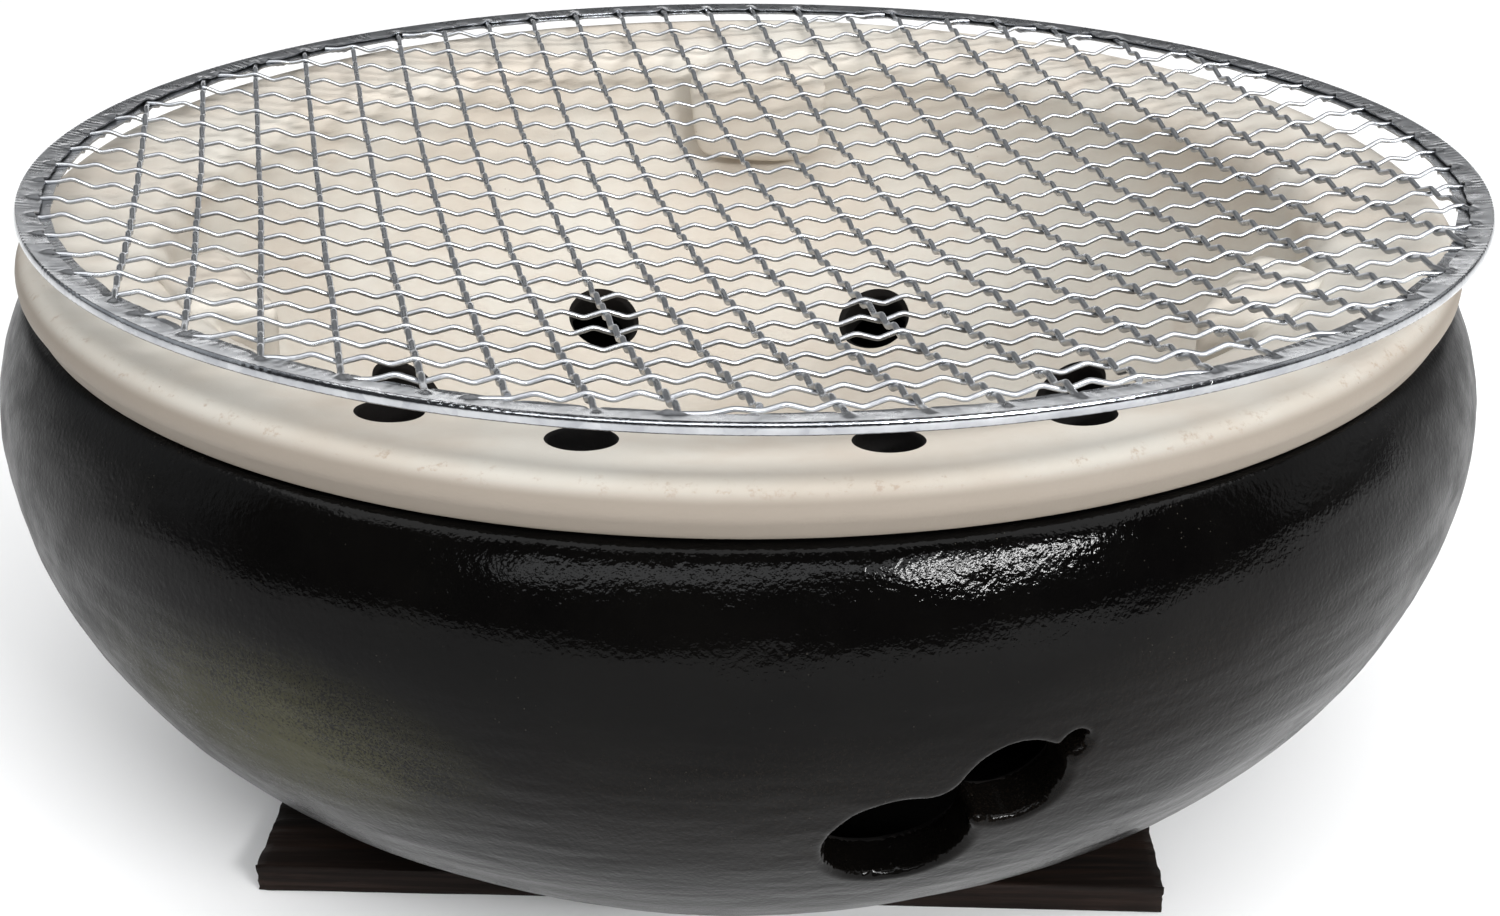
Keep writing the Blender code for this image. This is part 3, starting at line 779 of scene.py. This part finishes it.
def lug_tool(index, angle, material):
    """A hand-pressed lug: a soft block, broad at its root, that slopes away under its nose."""
    depth = LUG_ROOT - LUG_REACH
    bm = bmesh.new()
    bmesh.ops.create_cube(bm, size=1.0)
    bmesh.ops.subdivide_edges(bm, edges=list(bm.edges), cuts=2, use_grid_fill=True)
    for vert in bm.verts:
        out, low = vert.co.y + 0.5, 0.5 - vert.co.z
        nose = 1.0 - 0.28 * out + 0.16 * max(0.0, 0.4 - out)
        vert.co.x *= LUG_WIDTH * nose * (1.0 - 0.16 * low)
        reach = depth * (1.0 - 0.55 * low ** 1.5)
        vert.co.y = -depth / 2 + reach * out
        vert.co.z *= LUG_DEPTH
    mesh = bpy.data.meshes.new("lug_tool")
    bm.to_mesh(mesh)
    bm.free()
    mesh.materials.append(material)
    tool = new_object(f"lug_tool_{index}", mesh)
    soft = tool.modifiers.new("soft", "SUBSURF")
    soft.levels = 3
    apply_modifiers(tool)
    crease = wave_noise([v.co for v in tool.data.vertices], 9 * MM, 11.0 + index) * 0.5 * MM
    for vert, lump in zip(tool.data.vertices, crease):
        vert.co += vert.normal * float(lump)
    place = polar((LUG_ROOT + LUG_REACH) / 2 - 0.3 * MM, angle, lug_top(angle) - LUG_DEPTH / 2)
    tool.data.transform(Matrix.Translation(place) @ Matrix.Rotation(angle + math.pi, 4, "Z"))
    return tool


def blend_lugs(liner):
    """Works the clay round each lug into the wall, as a wet finger would."""
    bm = bmesh.new()
    bm.from_mesh(liner.data)
    near = []
    for vert in bm.verts:
        radius = math.hypot(vert.co.x, vert.co.y)
        if radius > LUG_ROOT - 1.5 * MM or vert.co.z < LIP_Z - 26 * MM:
            continue
        angle = math.atan2(vert.co.x, -vert.co.y)
        for lug in LUG_ANGLES:
            turn = abs((angle - lug + math.pi) % math.tau - math.pi)
            if turn * LUG_ROOT < LUG_WIDTH / 2 + LUG_BLEND:
                near.append(vert)
                break
    axes = {"use_axis_x": True, "use_axis_y": True, "use_axis_z": True}
    for _ in range(14):
        bmesh.ops.smooth_vert(bm, verts=near, factor=0.5, **axes)
    bm.to_mesh(liner.data)
    bm.free()


def hole_tool(radius, above, below, place, direction, material, flare):
    """A round cutter along direction whose mouth flares above place, which lies on the skin."""
    flare_depth = flare * 1.6
    profile = [(radius, -below), (radius, -flare_depth)]
    profile += [(radius + flare * (1 - math.cos(t)), -flare_depth + flare_depth * math.sin(t))
                for t in np.linspace(0.15, 1.05, 6)]
    slope_r, slope_z = np.array(profile[-1]) - np.array(profile[-2])
    profile.append((profile[-1][0] + slope_r / slope_z * above, profile[-1][1] + above))
    profile = np.array(profile)
    angles = np.linspace(-math.pi, math.pi, 64, endpoint=False)
    points = turned_points(profile, angles)
    points[..., :2] *= (1 + 0.012 * wave_noise(points, 5 * MM, 21.0))[..., None]
    tool = capped_rings("hole_tool", points, [material],
                        (0, 0, profile[0][1]), (0, 0, profile[-1][1]))
    turn = Vector(direction).to_track_quat("Z", "Y").to_matrix().to_4x4()
    tool.data.transform(Matrix.Translation(place) @ turn)
    fix_normals(tool)
    return tool


def rim_hole_tools(material):
    """Cutters for the rim's small holes, which lean a little with the rim's slope."""
    flat_width = RIM_RADIUS - RIM_ROUND - CHAMBER_RADIUS - RIM_INNER_ROUND
    slope = math.atan2(RIM_SLOPE, flat_width)
    hole_top = RIM_TOP - RIM_SLOPE * (RIM_RADIUS - RIM_ROUND - RIM_HOLE_CIRCLE) / flat_width
    tools = []
    for angle in RIM_HOLE_ANGLES:
        lean = polar(-math.sin(slope) * 0.5, angle, 1.0)
        place = polar(RIM_HOLE_CIRCLE, angle, hole_top)
        tools.append(hole_tool(RIM_HOLE_RADIUS, 5 * MM, 24 * MM, place, lean, material, 0.5 * MM))
    return tools


def wall_hole_tools(material):
    """Cutters for the air holes, square to the fire chamber's wall."""
    radius = CHAMBER_RADIUS * math.sqrt(1 - (WALL_HOLE_DROP / CHAMBER_FALL) ** 2)
    middle_radius = radius + LINER_WALL / 2
    steep = math.atan2(middle_radius / CHAMBER_RADIUS ** 2, WALL_HOLE_DROP / CHAMBER_FALL ** 2)
    tools = []
    for angle in WALL_HOLE_ANGLES:
        inward = -polar(math.sin(steep), angle, -math.cos(steep))
        middle = polar(middle_radius, angle, LIP_Z - WALL_HOLE_DROP - WALL_HOLE_SINK)
        place = middle + inward * LINER_WALL / 2
        tools.append(hole_tool(WALL_HOLE_RADIUS, 8 * MM, 18 * MM, place, inward, material, 0.7 * MM))
    return tools


def make_liner(clay, recess_shade):
    def spacing(points):
        return np.where(points[:, 1] > LIP_Z - 1 * MM, 0.9 * MM, 1.7 * MM)

    profile = resampled(liner_profile(), spacing)
    angles = spaced_angles(lambda a: np.full_like(a, 0.0105))
    points = turned_points(profile, angles)
    normal = turned_points(profile_normals(profile), angles)
    uneven = 0.22 * MM * wave_noise(points, 60 * MM, 31.0)
    uneven += 0.07 * MM * wave_noise(points * (1.0, 1.0, 2.5), 12 * MM, 32.0)
    radius = np.hypot(points[..., 0], points[..., 1])
    hidden = (points[..., 2] < LIP_Z + 1 * MM) & (radius > CHAMBER_RADIUS + 1 * MM)
    uneven = np.where(hidden, -np.abs(uneven) * 0.3, uneven)
    points = points + normal * uneven[..., None]
    liner = capped_rings("clay_liner", points, [clay, recess_shade],
                         (0.0, 0.0, LINER_BOTTOM), (0.0, 0.0, CHAMBER_FLOOR_Z))
    fix_normals(liner)
    top = int(np.argmax(profile[:, 1]))
    # Painted shade: the liner's outside below its rim and its bottom cap take the near-black second
    # material.
    painted_shade(liner, points, lambda row, height: row < top and height < RIM_UNDERSIDE + 0.2 * MM, 0)
    for index, angle in enumerate(LUG_ANGLES):
        cut(liner, [lug_tool(index, angle, clay)], "UNION")
    blend_lugs(liner)
    # The holes' walls take the near-black material: painted shade.
    cut(liner, rim_hole_tools(recess_shade) + wall_hole_tools(recess_shade))
    finish_piece(liner, "liner", "inner_liner")


# ----- grill net

def net_points(node, place):
    """A net node's vertices in a frame of the net."""
    inverse = np.array(place.inverted())
    points = np.array([v.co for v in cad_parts[node].data.vertices])
    return points @ inverse[:3, :3].T + inverse[:3, 3]


def wire_table():
    """Every wire node's name, direction (0 along X, 1 along Y), offset, and its two ends."""
    rows = []
    for node in sorted(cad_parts):
        if "_wire_" not in node:
            continue
        points = net_points(node, WIRES_PLACE)
        run = 1 if node.startswith("long") else 0
        low, high = points.min(0), points.max(0)
        rows.append((node, run, (low[1 - run] + high[1 - run]) / 2, low[run], high[run]))
    return rows


def crossing_side(row, column, run):
    """+1 where the wire passes over the one that it crosses, and -1 under it."""
    up = (row + column) % 2 == 0
    return 1 if up == (run == 1) else -1


def make_wire(index, row, others, material, rng):
    """One crimped wire: three half waves between crossings, straight flanks, round bends."""
    node, run, offset, start, end = row
    limit = math.sqrt(max(WIRE_REACH ** 2 - offset ** 2, 0))
    start = max(-limit, start - 1.5 * MM) if start < 0 else start
    end = min(limit, end + 1.5 * MM) if end > 0 else end
    along = np.linspace(start, end, max(24, int((end - start) / (0.36 * MM))))
    nearest = min(range(len(others)), key=lambda k: abs(others[k]))
    phase = (along - others[nearest]) / WIRE_PITCH * HALF_WAVES * math.pi
    shape = (np.cos(phase) + 0.075 * np.cos(3 * phase)) / 1.075
    radius = np.hypot(along, offset)
    fade = 1 - np.clip((radius - FLANGE_RADIUS + 1.5 * MM) / (3.5 * MM), 0, 1) * 0.75
    lift = crossing_side(index, nearest, run) * CRIMP * shape * fade
    seed = rng.uniform(0, 50)
    bend = np.array([noise.noise(Vector((a / (28 * MM), seed, 0.5))) for a in along])
    kink = np.array([noise.noise(Vector((a / (5 * MM), seed, 9.5))) for a in along])
    held = np.clip((FLANGE_RADIUS - radius) / (20 * MM), 0.15, 1)
    sideways = offset + (0.34 * MM * bend + 0.07 * MM * kink) * held
    x, y = (sideways, along) if run else (along, sideways)
    path = np.stack([x, y, net_height(x, y) + lift], 1)
    tangent = np.gradient(path, axis=0)
    tangent /= np.linalg.norm(tangent, axis=1)[:, None]
    across = np.cross(tangent, (0.0, 0.0, 1.0))
    across /= np.linalg.norm(across, axis=1)[:, None]
    upward = np.cross(across, tangent)
    turn = np.linspace(0, math.tau, 12, endpoint=False)[None, :, None]
    thick = LONG_WIRE_RADIUS if run else CROSS_WIRE_RADIUS
    thick = thick * (1 + 0.02 * np.sin(along / (7 * MM) + seed))
    around = np.cos(turn) * across[:, None] + np.sin(turn) * upward[:, None]
    rings = path[:, None] + thick[:, None, None] * around
    wire = capped_rings("crimped_" + node, rings, [material], path[0], path[-1])
    wire.data.transform(WIRES_PLACE)
    finish_piece(wire, "net", node)


def make_wires(material):
    rng = random.Random(12)
    rows = wire_table()
    for run in (0, 1):
        mine = sorted((r for r in rows if r[1] == run), key=lambda r: r[2])
        others = sorted(r[2] for r in rows if r[1] != run)
        for index, row in enumerate(mine):
            make_wire(index, row, others, material, rng)
    return rows


def wire_nearness(points, rows):
    """Distance of points in the wires' frame from the nearest wire's centre line."""
    best = np.full(points.shape[:-1], 1.0)
    for node, run, offset, start, end in rows:
        along, sideways = points[..., run], points[..., 1 - run]
        over = np.maximum(np.maximum(start - 2 * MM - along, along - end - 2 * MM), 0)
        best = np.minimum(best, np.hypot(sideways - offset, over))
    return best


def make_strip(rows, material):
    """The rim strip, folded round the hoop and hammered down over the wires' ends."""
    angles = np.linspace(-math.pi, math.pi, RIM_COLUMNS, endpoint=False)
    turn = np.array(Matrix.Rotation(-NET_TURN, 3, "Z"))
    sections = []

    def ring(radius, height=0.0):
        flat = [radius * np.sin(angles), -radius * np.cos(angles), np.zeros(RIM_COLUMNS) + height]
        return np.stack(flat, 1)

    def flange_height(radius, seed, dented):
        """Distance of a flange's outer skin from the hoop's plane, raised over each wire."""
        points = ring(radius)
        wire = wire_nearness(points @ turn.T, rows)
        ridge = 0.62 * MM * np.exp(-(wire / (0.85 * MM)) ** 2)
        dents = 0.10 * MM * wave_noise(points, 5.5 * MM, seed)
        dents += 0.045 * MM * wave_noise(points, 1.9 * MM, seed + 1)
        flat_end = FLANGE_RADIUS + 1 * MM
        rise = np.clip((radius - flat_end) / (CREASE_RADIUS - flat_end), 0, 1)
        base = (0.43 + 0.66 * rise ** 2) * MM
        return base + ridge * (1 - rise ** 2) + dents * dented * (1 - rise ** 4)

    def add_flange(edge, shares, side, inset):
        """side is 1 for the upper flange and -1 for the lower; shares run from edge to crease."""
        seed, dented = (44.0, 1.0) if side > 0 else (47.0, 0.6)
        for share in shares:
            radius = edge + (CREASE_RADIUS - edge) * share
            sections.append((radius, side * (flange_height(radius, seed, dented) - inset)))

    def add_fold(turns, inset):
        """The bulging outer face, from one crease to the other."""
        bend = FOLD_BEND - inset
        for angle in turns:
            bulge = FOLD_OUTSIDE * roll - inset - bend * (1 - math.cos(angle))
            sections.append((HOOP_RADIUS + bulge, bend * math.sin(angle)))

    edge_ring = ring(FLANGE_RADIUS)
    edge_wire = wire_nearness(ring(FLANGE_RADIUS + 2.5 * MM) @ turn.T, rows)
    notch = np.exp(-(edge_wire / (0.95 * MM)) ** 2)
    top_edge = TOP_EDGE_RADIUS + 0.35 * MM * wave_noise(edge_ring, 9 * MM, 41.0)
    top_edge += 0.12 * MM * wave_noise(edge_ring, 2.2 * MM, 42.0) + 0.7 * MM * notch
    low_edge = LOW_EDGE_RADIUS + 0.35 * MM * wave_noise(edge_ring, 12 * MM, 43.0)
    roll = 1 + 0.03 * wave_noise(ring(HOOP_RADIUS), 16 * MM, 46.0)
    add_flange(top_edge, np.linspace(0, 1, 15), 1, 0.0)
    add_fold(np.linspace(FOLD_HALF_TURN, -FOLD_HALF_TURN, 13), 0.0)
    add_flange(low_edge, np.linspace(1, 0, 9), -1, 0.0)
    add_flange(low_edge, np.linspace(0, 1, 7), -1, SHEET)
    add_fold(np.linspace(-FOLD_HALF_TURN, FOLD_HALF_TURN, 9), SHEET)
    add_flange(top_edge, np.linspace(1, 0, 11), 1, SHEET)

    points = np.array([ring(radius, height) for radius, height in sections])
    faces = ring_faces(len(sections), RIM_COLUMNS, closed_rows=True)
    strip = mesh_object("hammered_rim_strip", points.reshape(-1, 3), faces, [material],
                        math.radians(32))
    run = np.zeros((len(sections), RIM_COLUMNS, 3), np.float32)
    run[..., 0] = (angles * HOOP_RADIUS / MM)[None]
    run[..., 1] = np.array([radius for radius, height in sections]) / MM
    attribute = strip.data.attributes.new("rim_run", "FLOAT_VECTOR", "POINT")
    attribute.data.foreach_set("vector", run.ravel())
    strip.data.transform(NET_PLACE)
    fix_normals(strip)
    finish_piece(strip, "net", "net_rim_strip")


# ----- base board

def sawn_block(size):
    """A block's fine mesh, centred, with its edges worn round. Its bmesh is the caller's."""
    counts = [max(3, round(length / step)) for length, step in zip(size, BOARD_STEPS)]
    bm = bmesh.new()
    bmesh.ops.create_grid(bm, x_segments=counts[0], y_segments=counts[1], size=0.5)
    for vert in bm.verts:
        vert.co.z = 0.5
    made = bmesh.ops.extrude_face_region(bm, geom=list(bm.faces))
    lowered = [g for g in made["geom"] if isinstance(g, bmesh.types.BMVert)]
    bmesh.ops.translate(bm, verts=lowered, vec=(0, 0, -1.0))
    sides = [e for e in bm.edges if abs(e.verts[0].co.z - e.verts[1].co.z) > 0.5]
    bmesh.ops.subdivide_edges(bm, edges=sides, cuts=counts[2] - 1, use_grid_fill=True)
    bmesh.ops.recalc_face_normals(bm, faces=bm.faces)
    for vert in bm.verts:
        point = np.array(vert.co) * size
        inset = size / 2 - np.abs(point)
        for a, b in ((0, 2), (1, 2), (0, 1)):
            if inset[a] < BOARD_EDGE and inset[b] < BOARD_EDGE:
                worn = np.array([BOARD_EDGE - inset[a], BOARD_EDGE - inset[b]])
                worn *= min(1.0, BOARD_EDGE / max(float(np.linalg.norm(worn)), 1e-9))
                point[a] = math.copysign(size[a] / 2 - BOARD_EDGE + worn[0], point[a])
                point[b] = math.copysign(size[b] / 2 - BOARD_EDGE + worn[1], point[b])
        vert.co = point
    bm.normal_update()
    return bm


def make_board(material):
    """A sawn and charred board: raised grain runs along X, its ends are chipped a little."""
    nodes = np.array([v.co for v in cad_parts["base_board"].data.vertices])
    flat = nodes @ np.array(Matrix.Rotation(-BOARD_TURN, 3, "Z")).T
    low, high = flat.min(0), flat.max(0)
    size = high - low
    bm = sawn_block(size)
    moves = []
    for vert in bm.verts:
        x, y, z = vert.co / MM
        band = noise.fractal(Vector((x / 130, y / 4.2, z / 2.1)), 0.9, 2.0, 3)
        saw = noise.fractal(Vector((x / 20, y / 1.2, z / 1.2 + 9.0)), 0.9, 2.0, 2)
        chip = noise.noise(Vector((x / 6, y / 5, z / 1.7 + 3.0)))
        end = max(0.0, abs(vert.co.x) / (size[0] / 2) - 0.975) / 0.025
        depth = 0.34 * MM * band + 0.10 * MM * saw - end * 0.7 * MM * max(0.0, chip)
        if vert.co.z < -size[2] / 2 + 0.4 * MM:
            depth = min(depth, 0.0)
        moves.append(vert.normal * depth)
    for vert, move in zip(bm.verts, moves):
        vert.co += move
    mesh = bpy.data.meshes.new("charred_board")
    bm.to_mesh(mesh)
    bm.free()
    mesh.shade_smooth()
    mesh.set_sharp_from_angle(angle=math.radians(55))
    mesh.materials.append(material)
    middle = Vector((low + high) / 2)
    mesh.transform(Matrix.Rotation(BOARD_TURN, 4, "Z") @ Matrix.Translation(middle))
    finish_piece(new_object("charred_board", mesh), "board", "base_board")


# ----- camera, floor and lights

def make_camera():
    data = bpy.data.cameras.new("camera")
    data.sensor_width = 36.0
    data.lens = 50.0
    data.clip_start = 0.01
    camera = new_object("camera", data)
    camera.location = (2.3 * MM, -418.3 * MM, LIP_Z + 145.4 * MM)
    pitch, roll = 0.445, 0.005
    aim = Matrix.Rotation(math.pi / 2 - pitch, 3, "X") @ Matrix.Rotation(roll, 3, "Z")
    camera.rotation_euler = aim.to_euler()
    bpy.context.scene.camera = camera


def make_floor():
    n = Nodes("pale_floor")
    tone = n.ramp(n.noise(0.35, 3.0), (0.3, (0.89, 0.89, 0.89)), (0.7, (0.92, 0.92, 0.92)))
    material = n.finish(Base_Color=tone, Roughness=0.75, Specular_IOR_Level=0.1)
    half = 7.0
    corners = [(-half, -half, 0), (half, -half, 0), (half, half, 0), (-half, half, 0)]
    mesh = bpy.data.meshes.new("floor")
    mesh.from_pydata(corners, [], [(0, 1, 2, 3)])
    mesh.materials.append(material)
    new_object("floor", mesh)


def area_light(name, azimuth, elevation, distance, width, height, radiance, tint=(1.0, 1.0, 1.0)):
    """A flat light at angles in degrees from the front (positive towards +X), facing the grill."""
    data = bpy.data.lights.new(name, "AREA")
    data.shape = "RECTANGLE"
    data.size = width
    data.size_y = height
    data.energy = radiance * math.pi * width * height
    data.color = tint
    light = new_object(name, data)
    rise = math.radians(elevation)
    away = polar(math.cos(rise), math.radians(azimuth), math.sin(rise))
    light.location = Vector((0.0, 0.0, LIP_Z)) + away * distance
    light.rotation_euler = away.to_track_quat("Z", "Y").to_euler()


def make_lights():
    area_light("key", 0, 74, 1.75, 4.4, 1.45, 3.15)
    area_light("back_key", 180, 55, 2.2, 3.8, 1.5, 0.40)
    area_light("front_band", 6, 29.5, 2.4, 3.6, 0.36, 5.5, (0.96, 0.98, 1.0))
    area_light("window", 38, 24.5, 2.2, 0.95, 0.10, 130.0)
    area_light("left_panel", -96, 20, 2.2, 1.6, 1.2, 0.6, (0.92, 0.96, 1.0))
    area_light("right_panel", 100, 22, 2.2, 1.6, 1.3, 0.7, (0.97, 0.98, 1.0))
    area_light("backdrop", 180, 6.5, 3.2, 5.4, 0.85, 1.7)
    world = bpy.data.worlds.new("studio")
    world.use_nodes = True
    world.node_tree.nodes["Background"].inputs["Color"].default_value = (0.05, 0.052, 0.056, 1.0)
    bpy.context.scene.world = world
    bpy.context.scene.view_settings.view_transform = "Standard"


# ----- the whole object

def dress_frame(wood, glaze, clay, sheet, wire):
    """Gives every CAD node its own finish, shown or not."""
    finishes = {"base_board": wood, "outer_bowl": glaze, "inner_liner": clay, "net_rim_strip": sheet}
    for name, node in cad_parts.items():
        node.data.materials.clear()
        node.data.materials.append(finishes.get(name, wire))


def main():
    glaze = glaze_material()
    # Near-black clay that paints the shade in the holes and between bowl and liner.
    recess_shade = recess_shade_material()
    clay = clay_material()
    sheet = zinc_material("galvanised_sheet", (0.31, 0.32, 0.34), (0.50, 0.51, 0.525),
                          0.22, 0.36, 3.2 * MM, True)
    wire = zinc_material("galvanised_wire", (0.30, 0.31, 0.33), (0.46, 0.475, 0.49),
                         0.24, 0.36, 2.2 * MM, False)
    wood = board_material()
    dress_frame(wood, glaze, clay, sheet, wire)
    make_board(wood)
    make_bowl(glaze, recess_shade)
    make_liner(clay, recess_shade)
    rows = make_wires(wire)
    make_strip(rows, sheet)
    make_camera()
    make_floor()
    make_lights()


main()
